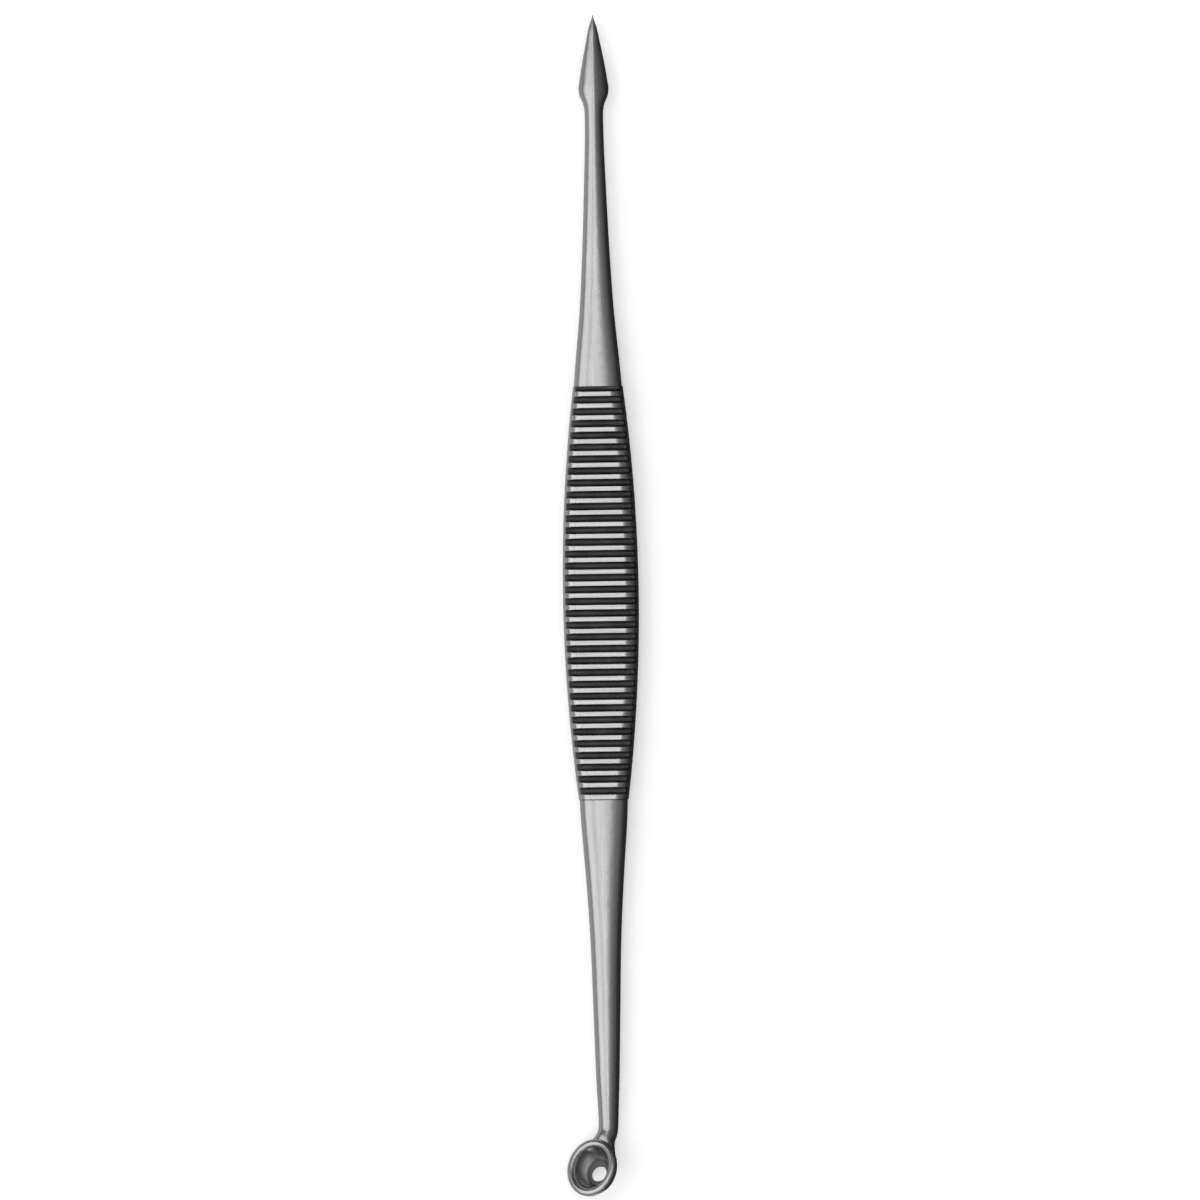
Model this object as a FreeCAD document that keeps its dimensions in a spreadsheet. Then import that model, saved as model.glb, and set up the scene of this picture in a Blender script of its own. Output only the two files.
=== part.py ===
import FreeCAD, Part
import math
import os

import Sketcher
from FreeCAD import Matrix, Placement, Rotation, Vector

# A double-ended blackhead extractor. A flat ribbed grip takes a lance at one end and a pierced
# spoon at the other, each screwed in by a stud. The tool lies on the grip's back, with the lance
# towards +Y and the front of the grip upwards. The origin is on the back, under the middle rib.

# Driving dimensions, in millimetres and degrees
SIZES = {
    # Grip: a flat bar whose sides bulge, with ribs left between grooves milled across both faces
    "rib_count": 35,
    "rib_pitch": 1.404,
    "groove_width": 0.88,
    "groove_depth": 0.5,
    "grip_middle_width": 9.0,
    "grip_end_width": 5.9,
    "grip_thickness": 4.6,
    "grip_edge_radius": 1.6,
    "lance_margin": 0.9,
    "spoon_margin": 0.36,
    # Studs on the two working ends, and the sockets that take them
    "stud_diameter": 2.5,
    "stud_length": 7.0,
    "stud_chamfer": 0.35,
    "stud_clearance": 0.04,
    "thread_pitch": 0.45,
    "thread_depth": 0.26,
    "socket_relief": 0.5,
    "socket_chamfer": 0.2,
    # Both shanks start this much inside the outline of the grip's end
    "seam_step": 0.1,
    # Lance end
    "lance_shank_length": 31.6,
    "lance_neck_diameter": 2.18,
    "lance_shoulder_length": 3.8,
    "lance_width": 3.57,
    "lance_thickness": 2.5,
    "lance_blade_length": 8.66,
    "lance_tip_width": 0.12,
    # Spoon end: the shank, the bend and the arm that points just under the middle of the bowl's rim
    "spoon_shank_length": 38.57,
    "spoon_neck_diameter": 2.34,
    "neck_bend": 32.0,
    "neck_bend_radius": 2.6,
    "neck_turn": 45.0,
    "arm_reach": 5.12,
    "web_thickness": 1.3,
    # Spoon's bowl, measured inside its rim
    "bowl_pitch": 22.0,
    "bowl_turn": 24.0,
    "bowl_rise": 0.8,
    "bowl_length": 5.2,
    "bowl_width": 4.31,
    "bowl_depth": 2.6,
    "bowl_floor": 0.55,
    "rim_width": 1.0,
    "drain_diameter": 1.95,
    # Pieces that are joined run this far into each other, and cuts run this far past
    "overrun": 0.6,
}

# Swell of each shank along its length: share of the length, share of the way from neck to seam
LANCE_SHANK_SHARES = [
    (0.0, 1.0), (0.035, 0.953), (0.07, 0.9), (0.14, 0.782), (0.21, 0.655), (0.29, 0.53), (0.44, 0.365),
    (0.59, 0.235), (0.74, 0.13), (0.88, 0.04), (1.0, 0.0),
]
SPOON_SHANK_SHARES = [
    (0.0, 1.0), (0.09, 0.90), (0.18, 0.745), (0.27, 0.60), (0.35, 0.49), (0.43, 0.40),
    (0.54, 0.32), (0.66, 0.25), (0.79, 0.175), (0.90, 0.09), (1.0, 0.0),
]
# Lance from neck to shoulder: share of the length, share of the way from neck to shoulder
LANCE_SHOULDER_SHARES = [(0.37, 0.08), (0.50, 0.22), (0.62, 0.49), (0.75, 0.81), (0.87, 0.95), (1.0, 1.0)]
# Lance from shoulder to tip: share of the length, share of the shoulder's width and thickness
LANCE_BLADE_SHARES = [(0.06, 0.965), (0.22, 0.845), (0.44, 0.655), (0.66, 0.44), (0.88, 0.195)]
# Arm from bend to rim: share of its length, share of the way from neck to web
ARM_FLARE_SHARES = [(0.2, 0.08), (0.4, 0.29), (0.6, 0.56), (0.8, 0.82), (1.0, 1.0)]
# Places in the bend, as shares of its angle
BEND_SHARES = [0.25, 0.5, 0.75, 1.0]
# The web ends this share of the rim's half length from the bowl's centre, inside its outline
WEB_END_SHARE = 0.6
WEB_INSET_SHARE = 0.82
# Size of the hollow's flat floor, as a share of its size at the rim
HOLLOW_FLOOR_SHARE = 0.58
# The lip is rounded by this share of its width on both sides
LIP_ROUND_SHARE = 0.46
# An edge lies in the rim's plane if it strays from it by less than this share of the lip's width
RIM_STRAY_SHARE = 0.001
RIM_PROBES = 5
# Width of the thread groove at its mouth and at its root, as shares of the pitch
THREAD_MOUTH_SHARE = 0.88
THREAD_ROOT_SHARE = 0.12

# Superellipse powers: squarish at the seam, flattened in the web, round at the neck, ridged on the lance
SEAM_POWER = 3.4
WEB_POWER = 2.8
ROUND_POWER = 2.0
RIDGE_POWER = 1.6
OUTLINE_POINTS = 32

AXIS = Vector(0, 1, 0)
SIDE = Vector(1, 0, 0)
FRONT = Vector(0, 0, 1)

# Distance of the grip's two end faces from the middle rib
HALF_RIBS = "(sizes.rib_count - 1) / 2 * sizes.rib_pitch"
LANCE_SEAM = f"{HALF_RIBS} + sizes.lance_margin"
SPOON_SEAM = f"{HALF_RIBS} + sizes.spoon_margin"

doc = FreeCAD.newDocument("blackhead_extractor")
sheet = doc.addObject("Spreadsheet::Sheet", "sizes")
for row, (alias, value) in enumerate(SIZES.items(), start=1):
    sheet.set(f"A{row}", alias)
    sheet.set(f"B{row}", str(value))
    sheet.setAlias(f"B{row}", alias)
doc.recompute()


def size(alias):
    return float(sheet.get(alias))


def bind(item, **expressions):
    """Tie properties of an object to expressions on the sheet."""
    for name, expression in expressions.items():
        item.setExpression(name, expression)


def lance_seam():
    return (size("rib_count") - 1) / 2 * size("rib_pitch") + size("lance_margin")


def spoon_seam():
    return (size("rib_count") - 1) / 2 * size("rib_pitch") + size("spoon_margin")


def finish(item, label):
    """Name a sub-part and lift it so that the grip's back lies on the ground."""
    item.Label = label
    item.setExpression("Placement.Base.z", "sizes.grip_thickness / 2")
    return item


def must_cut(feature, base):
    """A cut that removes nothing is a mistake in its direction."""
    doc.recompute()
    if not feature.Shape.Volume < base.Shape.Volume:
        raise RuntimeError(f"{feature.Name} cuts nothing")


# Ribbed grip


def add_sketch(body, name, role):
    sketch = body.newObject("Sketcher::SketchObject", name)
    plane = next(item for item in body.Origin.OriginFeatures if item.Role == role)
    sketch.AttachmentSupport = [(plane, "")]
    sketch.MapMode = "FlatFace"
    return sketch


def dimension(sketch, kind, elements, value, expression):
    index = sketch.addConstraint(Sketcher.Constraint(kind, *elements, value))
    sketch.setExpression(f"Constraints[{index}]", expression)


def draw_grip_outline(body):
    """Two straight ends joined by two bulging sides."""
    sketch = add_sketch(body, "grip_outline", "XY_Plane")
    end = size("grip_end_width") / 2
    middle = size("grip_middle_width") / 2
    top = lance_seam()
    bottom = -spoon_seam()
    lance_line = sketch.addGeometry(Part.LineSegment(Vector(-end, top, 0), Vector(end, top, 0)))
    right = sketch.addGeometry(Part.Arc(Vector(end, bottom, 0), Vector(middle, 0, 0), Vector(end, top, 0)))
    spoon_line = sketch.addGeometry(Part.LineSegment(Vector(end, bottom, 0), Vector(-end, bottom, 0)))
    left = sketch.addGeometry(Part.Arc(Vector(-end, top, 0), Vector(-middle, 0, 0), Vector(-end, bottom, 0)))
    right_mark = sketch.addGeometry(Part.Point(Vector(middle, 0, 0)), True)
    left_mark = sketch.addGeometry(Part.Point(Vector(-middle, 0, 0)), True)
    for first, second in [
        ((lance_line, 2), (right, 2)), ((spoon_line, 1), (right, 1)),
        ((spoon_line, 2), (left, 2)), ((lance_line, 1), (left, 1)),
    ]:
        sketch.addConstraint(Sketcher.Constraint("Coincident", *first, *second))
    for line in (lance_line, spoon_line):
        sketch.addConstraint(Sketcher.Constraint("Symmetric", line, 1, line, 2, -2))
    sketch.addConstraint(Sketcher.Constraint("PointOnObject", right_mark, 1, right))
    sketch.addConstraint(Sketcher.Constraint("PointOnObject", right_mark, 1, -1))
    sketch.addConstraint(Sketcher.Constraint("PointOnObject", left_mark, 1, left))
    sketch.addConstraint(Sketcher.Constraint("Symmetric", right_mark, 1, left_mark, 1, -1, 1))
    dimension(sketch, "DistanceX", (lance_line, 1, lance_line, 2), end * 2, "sizes.grip_end_width")
    dimension(sketch, "DistanceX", (spoon_line, 2, spoon_line, 1), end * 2, "sizes.grip_end_width")
    dimension(sketch, "DistanceX", (left_mark, 1, right_mark, 1), middle * 2, "sizes.grip_middle_width")
    dimension(sketch, "DistanceY", (-1, 1, lance_line, 1), top, LANCE_SEAM)
    dimension(sketch, "DistanceY", (spoon_line, 1, -1, 1), -bottom, SPOON_SEAM)
    return sketch


def draw_groove_section(body):
    """The round groove next to the lance, once in the front and once in the back."""
    sketch = add_sketch(body, "groove_section", "YZ_Plane")
    depth = size("groove_depth")
    radius = (size("groove_width") ** 2 / 4 + depth ** 2) / (2 * depth)
    along = size("rib_count") / 2 * size("rib_pitch")
    height = size("grip_thickness") / 2 - depth + radius
    radius_rule = "(sizes.groove_width ^ 2 / 4 + sizes.groove_depth ^ 2) / (2 * sizes.groove_depth)"
    height_rule = f"sizes.grip_thickness / 2 - sizes.groove_depth + {radius_rule}"
    for direction in (1, -1):
        centre = Vector(along, direction * height, 0)
        circle = sketch.addGeometry(Part.Circle(centre, Vector(0, 0, 1), radius))
        ends = (-1, 1, circle, 3) if direction > 0 else (circle, 3, -1, 1)
        dimension(sketch, "Radius", (circle,), radius, radius_rule)
        dimension(sketch, "DistanceX", (-1, 1, circle, 3), along, "sizes.rib_count / 2 * sizes.rib_pitch")
        dimension(sketch, "DistanceY", ends, height, height_rule)
    return sketch


def add_socket(body, name, seam_rule, outward):
    """A blind hole with a drill point and a countersunk mouth, in one end of the grip."""
    sketch = add_sketch(body, f"{name}_mouth", "XZ_Plane")
    sketch.setExpression("AttachmentOffset.Base.z", f"-({outward}) * ({seam_rule})")
    bore = "sizes.stud_diameter + 2 * sizes.stud_clearance"
    circle = sketch.addGeometry(Part.Circle(Vector(), Vector(0, 0, 1), size("stud_diameter") / 2))
    sketch.addConstraint(Sketcher.Constraint("Coincident", circle, 3, -1, 1))
    dimension(sketch, "Diameter", (circle,), size("stud_diameter"), bore)
    base = body.Tip
    doc.recompute()
    hole = body.newObject("PartDesign::Hole", name)
    hole.Profile = sketch
    hole.DepthType = "Dimension"
    hole.DrillPoint = "Angled"
    hole.HoleCutType = "Countersink"
    hole.HoleCutCustomValues = True
    hole.Reversed = outward > 0
    bind(
        hole,
        Diameter=bore,
        Depth="sizes.stud_length + sizes.socket_relief",
        HoleCutDiameter=f"{bore} + 2 * sizes.socket_chamfer",
    )
    must_cut(hole, base)


def make_ribbed_grip():
    body = doc.addObject("PartDesign::Body", "ribbed_grip")
    bar = body.newObject("PartDesign::Pad", "grip_bar")
    bar.Profile = draw_grip_outline(body)
    bar.SideType = "Symmetric"
    bind(bar, Length="sizes.grip_thickness")
    doc.recompute()
    long_edges = [
        f"Edge{number}" for number, edge in enumerate(bar.Shape.Edges, start=1)
        if isinstance(edge.Curve, Part.Circle)
    ]
    rounding = body.newObject("PartDesign::Fillet", "grip_edges")
    rounding.Base = (bar, long_edges)
    bind(rounding, Radius="sizes.grip_edge_radius")
    doc.recompute()
    groove = body.newObject("PartDesign::Pocket", "first_groove")
    groove.Profile = draw_groove_section(body)
    groove.Type = "ThroughAll"
    groove.SideType = "Symmetric"
    must_cut(groove, rounding)
    grooves = body.newObject("PartDesign::LinearPattern", "grooves")
    grooves.Originals = [groove]
    grooves.Direction = (next(item for item in body.Origin.OriginFeatures if item.Role == "Y_Axis"), [""])
    grooves.Reversed = True
    bind(grooves, Length="(sizes.rib_count - 1) * sizes.rib_pitch", Occurrences="sizes.rib_count")
    body.Tip = grooves
    must_cut(grooves, groove)
    add_socket(body, "lance_socket", LANCE_SEAM, 1)
    add_socket(body, "spoon_socket", SPOON_SEAM, -1)
    return finish(body, "ribbed_grip")


# Forged shanks


def section(centre, across, through, half_across, half_through, power, start=0.0):
    """A closed superellipse, drawn from the direction that lies start degrees from across."""
    points = []
    for step in range(OUTLINE_POINTS):
        angle = math.radians(start) + 2 * math.pi * step / OUTLINE_POINTS
        cosine = math.cos(angle)
        sine = math.sin(angle)
        terms = abs(cosine / half_across) ** power + abs(sine / half_through) ** power
        reach = terms ** (-1 / power)
        points.append(centre + across * (reach * cosine) + through * (reach * sine))
    knots = [step / OUTLINE_POINTS for step in range(OUTLINE_POINTS + 1)]
    curve = Part.BSplineCurve()
    curve.interpolate(points, PeriodicFlag=True, Parameters=knots)
    return Part.Wire(curve.toShape())


def between(low, high, share):
    return low + (high - low) * share


def shank_sections(shares, seam_place, direction, length, neck_radius, start):
    """Sections from the grip's end, flat like the grip there, to the round neck."""
    half_across = size("grip_end_width") / 2 - size("seam_step")
    half_through = size("grip_thickness") / 2 - size("seam_step")
    return [
        section(
            AXIS * (direction * (seam_place + length * along)), SIDE, FRONT,
            between(neck_radius, half_across, swell), between(neck_radius, half_through, swell),
            between(ROUND_POWER, SEAM_POWER, swell), start,
        )
        for along, swell in shares
    ]


def add_forging(name, sections):
    forging = doc.addObject("Part::Feature", name)
    forging.Shape = Part.makeLoft(sections, True, False)
    return forging


def add_stud(name, seam_place, direction):
    """The stud of one working end, pointing into the grip, and the helical groove of its thread."""
    root = AXIS * (direction * seam_place)
    turn = Rotation(FRONT, AXIS * -direction)
    shaft = doc.addObject("Part::Cylinder", f"{name}_shaft")
    shaft.Placement = Placement(root + AXIS * (direction * size("overrun")), turn)
    bind(shaft, Radius="sizes.stud_diameter / 2",
         Height="sizes.stud_length + sizes.overrun - sizes.stud_chamfer")
    point = doc.addObject("Part::Cone", f"{name}_point")
    straight = size("stud_length") - size("stud_chamfer")
    point.Placement = Placement(root - AXIS * (direction * straight), turn)
    bind(point, Radius1="sizes.stud_diameter / 2", Radius2="sizes.stud_diameter / 2 - sizes.stud_chamfer",
         Height="sizes.stud_chamfer")
    thread = doc.addObject("Part::Feature", f"{name}_thread")
    thread.Shape = thread_groove()
    thread.Placement = Placement(root, turn)
    return shaft, point, thread


def thread_groove():
    """A helical groove along the stud, from one pitch below its root to one pitch past its end."""
    pitch = size("thread_pitch")
    outer = size("stud_diameter") / 2
    inner = outer - size("thread_depth")
    outside = outer + size("stud_clearance")
    mouth = pitch * THREAD_MOUTH_SHARE / 2
    bottom = pitch * THREAD_ROOT_SHARE / 2
    helix = Part.makeLongHelix(pitch, size("stud_length"), (outer + inner) / 2)
    helix.translate(FRONT * pitch)
    corners = [
        Vector(inner, 0, pitch + bottom), Vector(outside, 0, pitch + mouth),
        Vector(outside, 0, pitch - mouth), Vector(inner, 0, pitch - bottom),
    ]
    pipe = Part.BRepOffsetAPI.MakePipeShell(Part.Wire(helix.Edges))
    pipe.setFrenetMode(True)
    pipe.add(Part.makePolygon(corners + corners[:1]))
    pipe.build()
    pipe.makeSolid()
    return pipe.shape()


def join(name, items):
    union = doc.addObject("Part::MultiFuse", name)
    union.Shapes = items
    return union


def cut_away(name, base, tool):
    cut = doc.addObject("Part::Cut", name)
    cut.Base = base
    cut.Tool = tool
    must_cut(cut, base)
    return cut


# Lance end


def make_lance_end():
    neck_radius = size("lance_neck_diameter") / 2
    half_width = size("lance_width") / 2
    half_thickness = size("lance_thickness") / 2
    half_tip = size("lance_tip_width") / 2
    neck = lance_seam() + size("lance_shank_length")
    shoulder = neck + size("lance_shoulder_length")
    tip = shoulder + size("lance_blade_length")
    sections = shank_sections(
        LANCE_SHANK_SHARES, lance_seam(), 1, size("lance_shank_length"), neck_radius, 0.0)
    for along, swell in LANCE_SHOULDER_SHARES:
        sections.append(section(
            AXIS * between(neck, shoulder, along), SIDE, FRONT,
            between(neck_radius, half_width, swell), between(neck_radius, half_thickness, swell),
            between(ROUND_POWER, RIDGE_POWER, swell),
        ))
    for along, narrowing in LANCE_BLADE_SHARES:
        sections.append(section(
            AXIS * between(shoulder, tip, along), SIDE, FRONT,
            half_width * narrowing, half_thickness * narrowing, RIDGE_POWER,
        ))
    sections.append(section(AXIS * tip, SIDE, FRONT, half_tip, half_tip, RIDGE_POWER))
    forging = add_forging("lance_forging", sections)
    shaft, point, thread = add_stud("lance_stud", lance_seam(), 1)
    blank = join("lance_blank", [forging, shaft, point])
    doc.recompute()
    return finish(cut_away("lance_end", blank, thread), "lance_end")


# Spoon end


def turned_directions(turn, pitch):
    """Directions along the shank, across it and out of its front, turned about it and then bent."""
    turn = math.radians(turn)
    pitch = math.radians(pitch)
    forward = FRONT * math.cos(turn) - SIDE * math.sin(turn)
    across = SIDE * math.cos(turn) + FRONT * math.sin(turn)
    along = AXIS * -math.cos(pitch) + forward * math.sin(pitch)
    opening = forward * math.cos(pitch) + AXIS * math.sin(pitch)
    return along, across, opening


def neck_directions(share):
    return turned_directions(size("neck_turn"), size("neck_bend") * share)


def bowl_placement():
    """Centre of the rim, with X along the bowl, Y across it and Z out of it."""
    along, across, opening = turned_directions(size("bowl_turn"), size("bowl_pitch"))
    centre = bend_corner() + neck_directions(1)[0] * size("arm_reach") + opening * size("bowl_rise")
    return Placement(Matrix(
        along.x, across.x, opening.x, centre.x,
        along.y, across.y, opening.y, centre.y,
        along.z, across.z, opening.z, centre.z,
        0, 0, 0, 1,
    ))


def bend_start():
    return -(spoon_seam() + size("spoon_shank_length"))


def bend_setback():
    """Distance from each end of the bend to the corner where the shank's and arm's axes cross."""
    return size("neck_bend_radius") * math.tan(math.radians(size("neck_bend")) / 2)


def bend_corner():
    return AXIS * (bend_start() - bend_setback())


def arm_sections():
    """Sections round the bend, and on through the arm that flares into a web under the rim."""
    neck_radius = size("spoon_neck_diameter") / 2
    forward = neck_directions(0)[2]
    sections = []
    for share in BEND_SHARES:
        across, opening = neck_directions(share)[1:]
        centre = AXIS * bend_start() + (forward - opening) * size("neck_bend_radius")
        sections.append(section(centre, across, opening, neck_radius, neck_radius, ROUND_POWER))
    half_length = size("bowl_length") / 2 + size("rim_width")
    half_width = size("bowl_width") / 2 + size("rim_width")
    web_half_width = WEB_INSET_SHARE * half_width * math.sqrt(1 - WEB_END_SHARE ** 2)
    arm_length = size("arm_reach") - bend_setback() - WEB_END_SHARE * half_length
    arm_direction, neck_across = neck_directions(1)[:2]
    bowl_across = turned_directions(size("bowl_turn"), size("bowl_pitch"))[1]
    across = bowl_across - arm_direction * bowl_across.dot(arm_direction)
    across.normalize()
    opening = arm_direction.cross(across)
    start = math.degrees(across.getAngle(neck_across))
    for share, flare in ARM_FLARE_SHARES:
        place = bend_corner() + arm_direction * (bend_setback() + arm_length * share)
        sections.append(section(
            place, across, opening,
            between(neck_radius, web_half_width, flare),
            between(neck_radius, size("web_thickness") / 2, flare),
            between(ROUND_POWER, WEB_POWER, flare), start,
        ))
    return sections


def add_ellipsoid(name, extra, depth_rule, bottom_angle, top_angle):
    """An ellipsoid over the rim's outline, widened by a rule on the sheet and cut off at two latitudes."""
    ellipsoid = doc.addObject("Part::Ellipsoid", name)
    ellipsoid.Placement = bowl_placement()
    ellipsoid.Angle1 = bottom_angle
    ellipsoid.Angle2 = top_angle
    bind(
        ellipsoid, Radius1=depth_rule,
        Radius2=f"sizes.bowl_length / 2 + {extra}", Radius3=f"sizes.bowl_width / 2 + {extra}",
    )
    return ellipsoid


def make_bowl():
    """A half ellipsoid hollowed by a smaller one with a flat floor, and with a rounded lip."""
    outside = add_ellipsoid("bowl_outside", "sizes.rim_width", "sizes.bowl_depth + sizes.bowl_floor", -90, 0)
    floor_angle = math.degrees(math.acos(HOLLOW_FLOOR_SHARE))
    hollow = add_ellipsoid(
        "bowl_hollow", "0", f"sizes.bowl_depth / sqrt(1 - {HOLLOW_FLOOR_SHARE} ^ 2)", -floor_angle, 90)
    doc.recompute()
    shell = cut_away("bowl_shell", outside, hollow)
    to_rim = bowl_placement().inverse()
    stray = RIM_STRAY_SHARE * size("rim_width")
    radius = LIP_ROUND_SHARE * size("rim_width")
    lip = doc.addObject("Part::Fillet", "bowl")
    lip.Base = shell
    lip.Edges = [
        (number, radius, radius) for number, edge in enumerate(shell.Shape.Edges, start=1)
        if not edge.Degenerated
        and all(abs(to_rim.multVec(place).z) < stray for place in edge.discretize(RIM_PROBES))
    ]
    return lip


def make_spoon_end():
    sections = shank_sections(
        SPOON_SHANK_SHARES, spoon_seam(), -1, size("spoon_shank_length"),
        size("spoon_neck_diameter") / 2, size("neck_turn"))
    forging = add_forging("spoon_forging", sections + arm_sections())
    bowl = make_bowl()
    wall_middle = add_ellipsoid(
        "wall_middle", "sizes.rim_width / 2", "sizes.bowl_depth + sizes.bowl_floor / 2", -90, 90)
    doc.recompute()
    arm = cut_away("spoon_arm", forging, wall_middle)
    shaft, point, thread = add_stud("spoon_stud", spoon_seam(), -1)
    blank = join("spoon_blank", [arm, bowl, shaft, point])
    drain = doc.addObject("Part::Cylinder", "drain")
    depth = size("bowl_depth") + size("bowl_floor") + size("overrun")
    drain.Placement = bowl_placement().multiply(Placement(FRONT * -depth, Rotation()))
    bind(drain, Radius="sizes.drain_diameter / 2", Height="sizes.bowl_floor + 2 * sizes.overrun")
    doc.recompute()
    pierced = cut_away("pierced_spoon", blank, drain)
    return finish(cut_away("spoon_end", pierced, thread), "spoon_end")


def check_and_write(pieces):
    doc.recompute()
    for item in doc.Objects:
        if "Invalid" in item.State or "Error" in item.State:
            raise RuntimeError(f"{item.Name} failed: {item.State}")
    for piece in pieces:
        shape = piece.Shape
        if shape.isNull() or not shape.isValid() or len(shape.Solids) != 1:
            raise RuntimeError(f"{piece.Label} is not one valid solid")
    os.makedirs("parts", exist_ok=True)
    for piece in pieces:
        piece.Shape.exportStep(f"parts/{piece.Label}.step")
        box = piece.Shape.BoundBox
        print(f"{piece.Label}: {piece.Shape.Volume:.2f} mm3,"
              f" x {box.XMin:.3f} to {box.XMax:.3f}, y {box.YMin:.3f} to {box.YMax:.3f},"
              f" z {box.ZMin:.3f} to {box.ZMax:.3f}")


check_and_write([make_ribbed_grip(), make_lance_end(), make_spoon_end()])
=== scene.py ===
import math

import bmesh
import bpy
from mathutils import Matrix, Vector

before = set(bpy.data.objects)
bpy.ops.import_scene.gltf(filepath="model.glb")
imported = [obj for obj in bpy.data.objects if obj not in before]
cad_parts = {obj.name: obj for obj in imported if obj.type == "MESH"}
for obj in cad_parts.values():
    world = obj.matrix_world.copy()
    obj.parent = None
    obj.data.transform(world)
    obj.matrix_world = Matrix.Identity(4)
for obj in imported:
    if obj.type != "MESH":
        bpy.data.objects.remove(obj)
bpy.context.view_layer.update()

# Sizes of the tool that the finishes follow, in metres and degrees
RIB_PITCH = 0.001404
GROOVE_HALF_WIDTH = 0.00044
GRIP_MIDDLE_HEIGHT = 0.0023
GROOVE_FLOOR = 0.0018
BOWL_CENTRE = (-0.00222, -0.067586, 0.004896)
BOWL_TURN = 24.0
BOWL_PITCH = 22.0
HOLLOW_HALF_SIZES = (0.002155, 0.0026, 0.003192)

# Small radii that break the edges, in metres
LANCE_EDGE_RADIUS = 0.00006
SPOON_EDGE_RADIUS = 0.00012
RIB_EDGE_RADIUS = 0.00009

# Where the finishes change: lengths in metres, the hollow's as shares of its half sizes
GROOVE_SIDE_INNER = 0.00006
GROOVE_SIDE_OUTER = 0.00001
GROOVE_FADE_DEPTH = 0.0005
GROOVE_FLOOR_MARGIN = 0.00002
HOLLOW_WALL_RANGE = (1.005, 1.03)
HOLLOW_DEPTH_RANGE = (-0.8, -0.68)

# Colours of the steel, with painted shade in the grooves and the spoon's hollow and a painted highlight
# on the rib crests
SHANK_STEEL = (0.61, 0.61, 0.615)
HANDLED_STEEL = (0.635, 0.635, 0.64)
GRINDING_MARK = (0.36, 0.36, 0.365)
GRINDING_MARK_SHARE = 0.08
# Painted shade: a near-black steel for the floor of the spoon's hollow
HOLLOW_FLOOR_PAINTED_SHADE = (0.17, 0.17, 0.173)
# Painted highlight: the rib crests take a lighter steel than the shank
CREST_PAINTED_HIGHLIGHT = (0.68, 0.68, 0.685)
LINED_CREST = (0.61, 0.61, 0.615)
# Painted shade in the milled grooves, and a stained variant of it
GROOVE_PAINTED_SHADE = (0.065, 0.065, 0.067)
GROOVE_PAINTED_SHADE_STAINED = (0.105, 0.105, 0.107)

# Roughness of the steel, and what each kind of mark adds to it
SHANK_ROUGHNESS = 0.25
GRINDING_ROUGHNESS = 0.05
HANDLING_ROUGHNESS = 0.02
HOLLOW_FLOOR_ROUGHNESS = 0.1
CREST_ROUGHNESS = 0.24
GROOVE_ROUGHNESS = 0.2
POLISHING_ROUGHNESS = 0.06

# Marks on the steel, in features per metre along each axis
SHANK_GRINDING = (5200, 110, 5200)
SHANK_HANDLING = (260, 90, 260)
GROOVE_MILLING = (150, 6000, 2600)
CREST_POLISHING = (130, 5200, 5200)
GROOVE_PATINA = (420, 420, 420)
FINE_DETAIL = 3.0
BROAD_DETAIL = 4.0
FINE_RANGE = (0.3, 0.72)
BROAD_RANGE = (0.3, 0.75)
SHANK_RELIEF = 0.03
GRIP_RELIEF = 0.1
RELIEF_DISTANCE = 0.00001


# Finishes


def add_node(tree, kind, **inputs):
    """A shader node with some of its inputs set or linked, by the input's name."""
    node = tree.nodes.new(kind)
    for name, value in inputs.items():
        socket = node.inputs[name.replace("_", " ")]
        if isinstance(value, bpy.types.NodeSocket):
            tree.links.new(value, socket)
        else:
            socket.default_value = value
    return node


def math_node(tree, operation, first, second=0.0, third=None, clamp=False):
    """A sum of one, two or three values, each a number or a socket."""
    node = tree.nodes.new("ShaderNodeMath")
    node.operation = operation
    node.use_clamp = clamp
    values = (first, second) if third is None else (first, second, third)
    for socket, value in zip(node.inputs, values):
        if isinstance(value, bpy.types.NodeSocket):
            tree.links.new(value, socket)
        else:
            socket.default_value = value
    return node.outputs[0]


def ramp(tree, value, low, high, to_low, to_high):
    """Maps a value from one range to another with soft ends."""
    node = add_node(
        tree, "ShaderNodeMapRange",
        Value=value, From_Min=low, From_Max=high, To_Min=to_low, To_Max=to_high,
    )
    node.interpolation_type = "SMOOTHSTEP"
    return node.outputs[0]


def grain(tree, position, scale, detail=FINE_DETAIL):
    """Noise stretched by a scale for each axis, in features per metre."""
    mapping = add_node(tree, "ShaderNodeMapping", Vector=position, Scale=scale)
    return add_node(
        tree, "ShaderNodeTexNoise", Vector=mapping.outputs[0], Scale=1.0, Detail=detail,
    ).outputs[0]


def blend_colours(tree, share, first, second):
    """A colour between two others, each given as a colour or a socket."""
    node = tree.nodes.new("ShaderNodeMix")
    node.data_type = "RGBA"
    factor, colour_a, colour_b = (node.inputs[place] for place in (0, 6, 7))
    tree.links.new(share, factor)
    for socket, value in ((colour_a, first), (colour_b, second)):
        if isinstance(value, bpy.types.NodeSocket):
            tree.links.new(value, socket)
        else:
            socket.default_value = (*value, 1.0)
    return node.outputs[2]


def new_steel(name):
    """A steel material, with its tree, its shader and a socket for Object coordinates."""
    material = bpy.data.materials.new(name)
    material.use_nodes = True
    tree = material.node_tree
    shader = tree.nodes["Principled BSDF"]
    shader.inputs["Metallic"].default_value = 1.0
    position = tree.nodes.new("ShaderNodeTexCoord").outputs["Object"]
    return material, tree, shader, position


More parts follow.
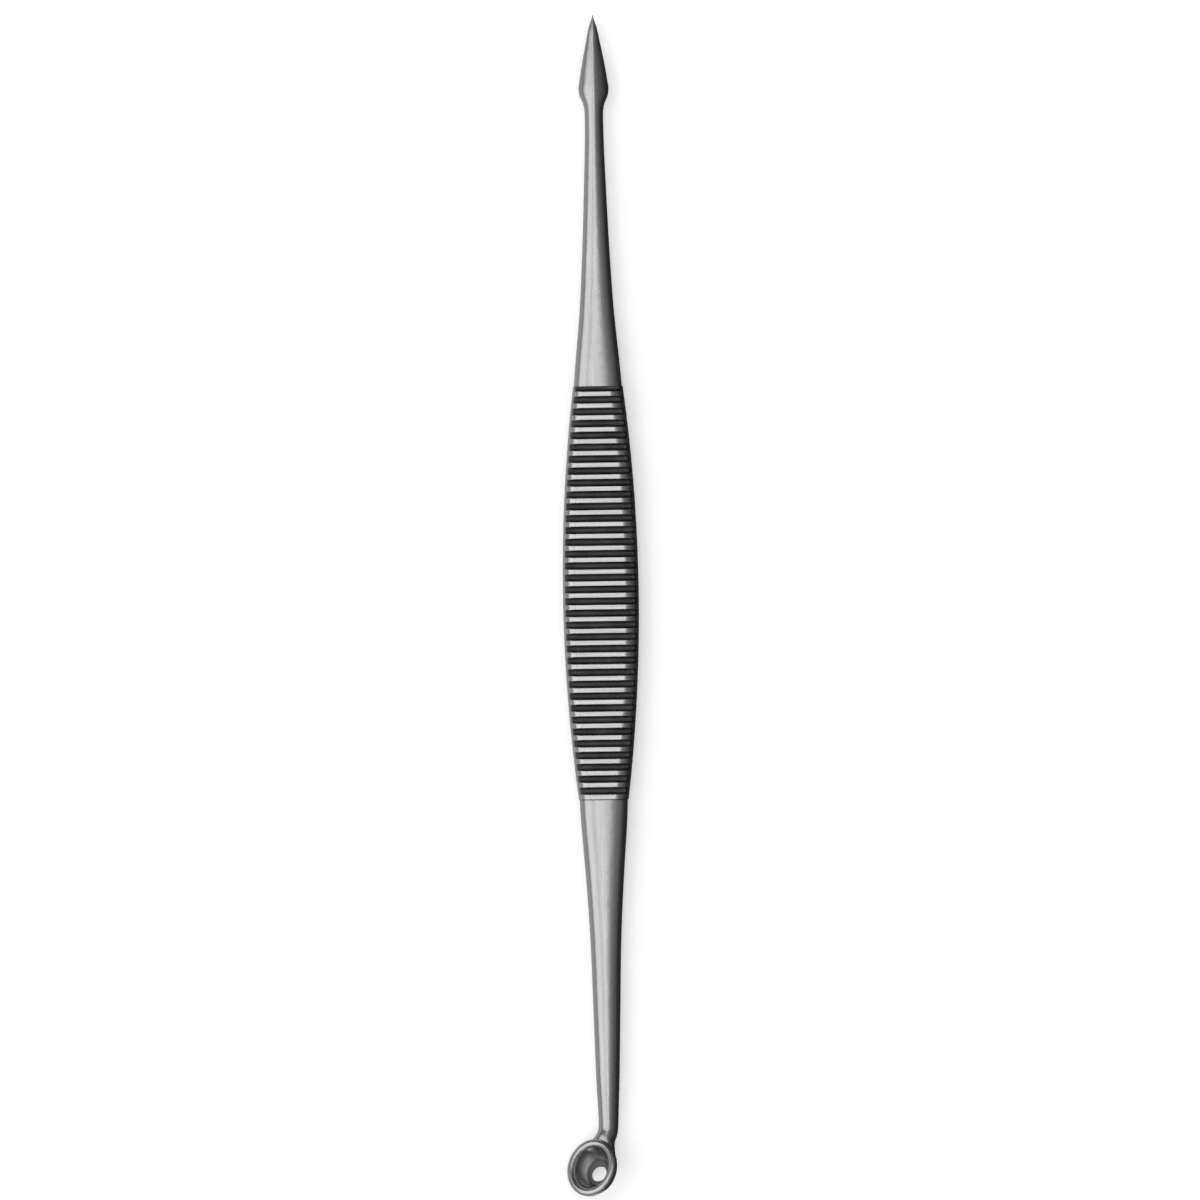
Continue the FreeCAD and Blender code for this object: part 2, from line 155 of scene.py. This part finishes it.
def add_relief(tree, shader, height, strength, edge_radius):
    """Fine relief on the surface, over edges that are broken by a small radius."""
    broken = add_node(tree, "ShaderNodeBevel", Radius=edge_radius)
    bump = add_node(
        tree, "ShaderNodeBump",
        Height=height, Strength=strength, Distance=RELIEF_DISTANCE, Normal=broken.outputs[0],
    )
    tree.links.new(bump.outputs[0], shader.inputs["Normal"])


def hollow_floor_shade_share(tree, position):
    """One on the floor of the spoon's hollow, where a near-black steel colour is painted shade in the
    recess.
    """
    turn = Matrix.Rotation(math.radians(-BOWL_TURN), 3, "Y")
    pitch = Matrix.Rotation(math.radians(-BOWL_PITCH), 3, "X")
    mapping = add_node(
        tree, "ShaderNodeMapping", Vector=position, Location=BOWL_CENTRE,
        Rotation=(turn @ pitch).to_euler(), Scale=HOLLOW_HALF_SIZES,
    )
    mapping.vector_type = "TEXTURE"
    reach = tree.nodes.new("ShaderNodeVectorMath")
    reach.operation = "LENGTH"
    tree.links.new(mapping.outputs[0], reach.inputs[0])
    inside = ramp(tree, reach.outputs["Value"], *HOLLOW_WALL_RANGE, 1.0, 0.0)
    place = add_node(tree, "ShaderNodeSeparateXYZ", Vector=mapping.outputs[0])
    deep = ramp(tree, place.outputs["Z"], *HOLLOW_DEPTH_RANGE, 1.0, 0.0)
    return math_node(tree, "MULTIPLY", inside, deep)


def polished_shank_steel(name, edge_radius, rough_shaded_share=None):
    """Forged steel, ground lengthwise and polished, with handling marks and maybe a rougher place with
    painted shade.
    """
    material, tree, shader, position = new_steel(name)
    grinding = grain(tree, position, SHANK_GRINDING)
    handling = grain(tree, position, SHANK_HANDLING, BROAD_DETAIL)
    worn = ramp(tree, handling, *BROAD_RANGE, 0.0, 1.0)
    lines = ramp(tree, grinding, *FINE_RANGE, 0.0, 1.0)
    colour = blend_colours(tree, worn, SHANK_STEEL, HANDLED_STEEL)
    line_share = math_node(tree, "MULTIPLY", lines, GRINDING_MARK_SHARE)
    colour = blend_colours(tree, line_share, colour, GRINDING_MARK)
    roughness = math_node(tree, "MULTIPLY_ADD", lines, GRINDING_ROUGHNESS, SHANK_ROUGHNESS)
    roughness = math_node(tree, "MULTIPLY_ADD", worn, HANDLING_ROUGHNESS, roughness)
    if rough_shaded_share:
        rough_shaded_place = rough_shaded_share(tree, position)
        # Painted shade: the chosen place takes a near-black steel colour, and more roughness
        colour = blend_colours(tree, rough_shaded_place, colour, HOLLOW_FLOOR_PAINTED_SHADE)
        roughness = math_node(tree, "MULTIPLY_ADD", rough_shaded_place, HOLLOW_FLOOR_ROUGHNESS, roughness)
    tree.links.new(colour, shader.inputs["Base Color"])
    tree.links.new(roughness, shader.inputs["Roughness"])
    add_relief(tree, shader, lines, SHANK_RELIEF, edge_radius)
    return material


def groove_share(tree, position):
    """One in the milled grooves of the grip's front and back."""
    place = add_node(tree, "ShaderNodeSeparateXYZ", Vector=position)
    turns = math_node(tree, "DIVIDE", place.outputs["Y"], RIB_PITCH)
    from_middle = math_node(tree, "SUBTRACT", math_node(tree, "FRACT", turns), 0.5)
    from_groove = math_node(tree, "MULTIPLY", math_node(tree, "ABSOLUTE", from_middle), RIB_PITCH)
    inner_side = GROOVE_HALF_WIDTH - GROOVE_SIDE_INNER
    outer_side = GROOVE_HALF_WIDTH + GROOVE_SIDE_OUTER
    in_band = ramp(tree, from_groove, inner_side, outer_side, 1.0, 0.0)
    offset = math_node(tree, "SUBTRACT", place.outputs["Z"], GRIP_MIDDLE_HEIGHT)
    height = math_node(tree, "ABSOLUTE", offset)
    fade_start = GROOVE_FLOOR - GROOVE_FADE_DEPTH
    fade_end = GROOVE_FLOOR - GROOVE_FLOOR_MARGIN
    near_face = ramp(tree, height, fade_start, fade_end, 0.0, 1.0)
    return math_node(tree, "MULTIPLY", in_band, near_face)


def ribbed_grip_steel(name):
    """Rib crests in a lighter steel, a painted highlight, between milled grooves in a near-black steel,
    painted shade, on a satin bar.
    """
    material, tree, shader, position = new_steel(name)
    dark = groove_share(tree, position)
    milling = grain(tree, position, GROOVE_MILLING)
    polishing = grain(tree, position, CREST_POLISHING)
    patina = grain(tree, position, GROOVE_PATINA, BROAD_DETAIL)
    stain = ramp(tree, patina, *BROAD_RANGE, 0.0, 1.0)
    lines = ramp(tree, polishing, *FINE_RANGE, 0.0, 1.0)
    # Painted highlight: crests lighter than the shank steel, with polishing lines in the shank's tone
    crest = blend_colours(tree, lines, CREST_PAINTED_HIGHLIGHT, LINED_CREST)
    # Painted shade: the grooves take a near-black steel, varied by random patina
    groove = blend_colours(tree, stain, GROOVE_PAINTED_SHADE, GROOVE_PAINTED_SHADE_STAINED)
    tree.links.new(blend_colours(tree, dark, crest, groove), shader.inputs["Base Color"])
    roughness = math_node(tree, "MULTIPLY_ADD", dark, GROOVE_ROUGHNESS, CREST_ROUGHNESS)
    roughness = math_node(tree, "MULTIPLY_ADD", lines, POLISHING_ROUGHNESS, roughness)
    tree.links.new(roughness, shader.inputs["Roughness"])
    tooling = math_node(tree, "MULTIPLY_ADD", milling, dark, lines)
    add_relief(tree, shader, tooling, GRIP_RELIEF, RIB_EDGE_RADIUS)
    return material


def dress(node, material):
    """Gives a node of the frame its finish."""
    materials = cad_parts[node].data.materials
    materials.clear()
    materials.append(material)


dress("ribbed_grip", ribbed_grip_steel("ribbed_grip_steel"))
dress("lance_end", polished_shank_steel("lance_steel", LANCE_EDGE_RADIUS))
# The spoon's steel carries painted shade on the floor of its hollow
dress("spoon_end", polished_shank_steel("spoon_steel", SPOON_EDGE_RADIUS, hollow_floor_shade_share))

# Studio, in metres: the floor, and the cards that only the steel mirrors
WHITE = (1.0, 1.0, 1.0, 1.0)
PAPER_GREY = (0.9, 0.9, 0.9, 1.0)
PAPER_GLOW = 0.3
FLOOR_SIDE = 6.0
FLOOR_HEIGHT = -0.00003
TABLE_CARD_HEIGHT = -0.00002
CARD_LENGTH = 0.9
RIGHT_CARD_WIDTH = 0.654
RIGHT_CARD_HEIGHT = 0.6
RIGHT_CARD_OVERHANG = 0.26
RIGHT_CARD_PLACE = (0.22, 0.0, 0.3)
RIGHT_CARD_GREYS = (0.02, 0.3)
RIGHT_TABLE_WIDTH = 0.35
RIGHT_TABLE_PLACE = (0.176, 0.0, TABLE_CARD_HEIGHT)
RIGHT_TABLE_GREY = 0.03
LEFT_TABLE_WIDTH = 0.9
LEFT_TABLE_PLACE = (-0.451, 0.0, TABLE_CARD_HEIGHT)
LEFT_TABLE_GREY = 0.42
LANCE_END_WIDTH = 1.3
LANCE_END_HEIGHT = 0.42
LANCE_END_PLACE = (-0.1, 0.33, 0.21)
LANCE_END_GREYS = (0.05, 0.08)

# Lamps: places and sizes in metres, with the radiance of each lamp's face
KEY_PLACE = (-0.3, -0.05, 0.33)
KEY_TARGET = (0.0, -0.05, 0.0)
KEY_SIZE = (0.6, 0.42)
KEY_RADIANCE = 0.85
TOP_PLACE = (-0.04, 0.0, 0.6)
TOP_TARGET = (-0.04, 0.0, 0.0)
TOP_SIZE = (0.16, 0.9)
TOP_RADIANCE = 1.1
FILL_PLACE = (0.0, 0.0, 1.2)
FILL_TARGET = (0.0, 0.0, 0.0)
FILL_SIZE = (1.4, 1.4)
FILL_RADIANCE = 1.2
WORLD_STRENGTH = 0.25

# Camera: lens in millimetres, place in metres, turn in degrees
LENS = 300.0
SENSOR_WIDTH = 36.0
CLIP_RANGE = (0.01, 20.0)
CAMERA_PLACE = (-0.000114, -0.000556, 1.1887)
CAMERA_TURN = -0.8365


def flat_card(name, width, length, placing):
    """A rectangle of the stage, moved and turned into its place."""
    sheet = bmesh.new()
    bmesh.ops.create_grid(sheet, x_segments=1, y_segments=1, size=0.5)
    bmesh.ops.scale(sheet, vec=(width, length, 1.0), verts=sheet.verts)
    bmesh.ops.transform(sheet, matrix=placing, verts=sheet.verts)
    mesh = bpy.data.meshes.new(name)
    sheet.to_mesh(mesh)
    sheet.free()
    card = bpy.data.objects.new(name, mesh)
    bpy.context.collection.objects.link(card)
    return card


def floor_paper():
    """Pale paper, whitened alike for the eye and for what the steel mirrors."""
    material = bpy.data.materials.new("floor_paper")
    material.use_nodes = True
    tree = material.node_tree
    tree.nodes.clear()
    rays = tree.nodes.new("ShaderNodeLightPath").outputs
    seen = math_node(tree, "ADD", rays["Is Camera Ray"], rays["Is Glossy Ray"])
    seen = math_node(tree, "ADD", seen, rays["Is Transmission Ray"], clamp=True)
    paper = add_node(tree, "ShaderNodeBsdfDiffuse", Color=PAPER_GREY)
    strength = math_node(tree, "MULTIPLY", seen, PAPER_GLOW)
    glow = add_node(tree, "ShaderNodeEmission", Color=WHITE, Strength=strength)
    both = tree.nodes.new("ShaderNodeAddShader")
    tree.links.new(paper.outputs[0], both.inputs[0])
    tree.links.new(glow.outputs[0], both.inputs[1])
    output = tree.nodes.new("ShaderNodeOutputMaterial")
    tree.links.new(both.outputs[0], output.inputs["Surface"])
    return material


def card_cloth(name, foot, top, height=1.0):
    """A grey that rises from a card's foot to its top."""
    material = bpy.data.materials.new(name)
    material.use_nodes = True
    tree = material.node_tree
    tree.nodes.clear()
    position = tree.nodes.new("ShaderNodeTexCoord").outputs["Object"]
    place = add_node(tree, "ShaderNodeSeparateXYZ", Vector=position)
    grey = add_node(
        tree, "ShaderNodeMapRange",
        Value=place.outputs["Z"], From_Min=0.0, From_Max=height, To_Min=foot, To_Max=top,
    ).outputs[0]
    glow = add_node(tree, "ShaderNodeEmission", Color=WHITE, Strength=grey)
    output = tree.nodes.new("ShaderNodeOutputMaterial")
    tree.links.new(glow.outputs[0], output.inputs["Surface"])
    return material


def mirrored_card(name, width, length, placing, material):
    """A card that only the steel's reflections see."""
    card = flat_card(name, width, length, placing)
    card.data.materials.append(material)
    card.visible_camera = False
    card.visible_diffuse = False
    card.visible_transmission = False
    card.visible_shadow = False


def softbox(name, place, target, size, radiance):
    """An area lamp of an even brightness that faces its target, its length along the tool."""
    width, length = size
    lamp = bpy.data.lights.new(name, "AREA")
    lamp.shape = "RECTANGLE"
    lamp.size = width
    lamp.size_y = length
    lamp.energy = radiance * math.pi * width * length
    box = bpy.data.objects.new(name, lamp)
    box.location = place
    aim = Vector(target) - Vector(place)
    box.rotation_euler = aim.to_track_quat("-Z", "Y").to_euler()
    box.visible_camera = False
    bpy.context.collection.objects.link(box)
    return box


def set_floor():
    placing = Matrix.Translation((0.0, 0.0, FLOOR_HEIGHT))
    floor = flat_card("floor", FLOOR_SIDE, FLOOR_SIDE, placing)
    floor.data.materials.append(floor_paper())


def set_cards():
    """Cards for the steel to mirror: dark at the right and past the lance, paler at the left."""
    lean = Matrix.Rotation(math.atan2(RIGHT_CARD_HEIGHT, RIGHT_CARD_OVERHANG), 4, "Y")
    mirrored_card(
        "right_card", RIGHT_CARD_WIDTH, CARD_LENGTH,
        Matrix.Translation(RIGHT_CARD_PLACE) @ lean,
        card_cloth("right_card_grey", *RIGHT_CARD_GREYS, RIGHT_CARD_HEIGHT))
    mirrored_card(
        "right_table_card", RIGHT_TABLE_WIDTH, CARD_LENGTH,
        Matrix.Translation(RIGHT_TABLE_PLACE),
        card_cloth("right_table_grey", RIGHT_TABLE_GREY, RIGHT_TABLE_GREY))
    mirrored_card(
        "left_table_card", LEFT_TABLE_WIDTH, CARD_LENGTH,
        Matrix.Translation(LEFT_TABLE_PLACE),
        card_cloth("left_table_grey", LEFT_TABLE_GREY, LEFT_TABLE_GREY))
    upright = Matrix.Rotation(math.radians(90), 4, "X")
    mirrored_card(
        "lance_end_card", LANCE_END_WIDTH, LANCE_END_HEIGHT,
        Matrix.Translation(LANCE_END_PLACE) @ upright,
        card_cloth("lance_end_grey", *LANCE_END_GREYS, LANCE_END_HEIGHT))


def set_lamps():
    """A key from the left, a softbox overhead, and a fill for the floor that the steel doesn't mirror."""
    softbox("key_softbox", KEY_PLACE, KEY_TARGET, KEY_SIZE, KEY_RADIANCE)
    softbox("top_softbox", TOP_PLACE, TOP_TARGET, TOP_SIZE, TOP_RADIANCE)
    fill = softbox("floor_fill", FILL_PLACE, FILL_TARGET, FILL_SIZE, FILL_RADIANCE)
    fill.visible_glossy = False
    world = bpy.data.worlds.new("studio_world")
    world.use_nodes = True
    background = world.node_tree.nodes["Background"]
    background.inputs["Color"].default_value = WHITE
    background.inputs["Strength"].default_value = WORLD_STRENGTH
    bpy.context.scene.world = world


def set_camera():
    """Looks straight down on the tool, with the lance at the top and leaning slightly left."""
    lens = bpy.data.cameras.new("photo_camera")
    lens.lens = LENS
    lens.sensor_width = SENSOR_WIDTH
    lens.clip_start, lens.clip_end = CLIP_RANGE
    camera = bpy.data.objects.new("photo_camera", lens)
    camera.location = CAMERA_PLACE
    camera.rotation_euler = (0.0, 0.0, math.radians(CAMERA_TURN))
    bpy.context.collection.objects.link(camera)
    bpy.context.scene.camera = camera


set_floor()
set_cards()
set_lamps()
set_camera()
bpy.context.scene.view_settings.view_transform = "Standard"
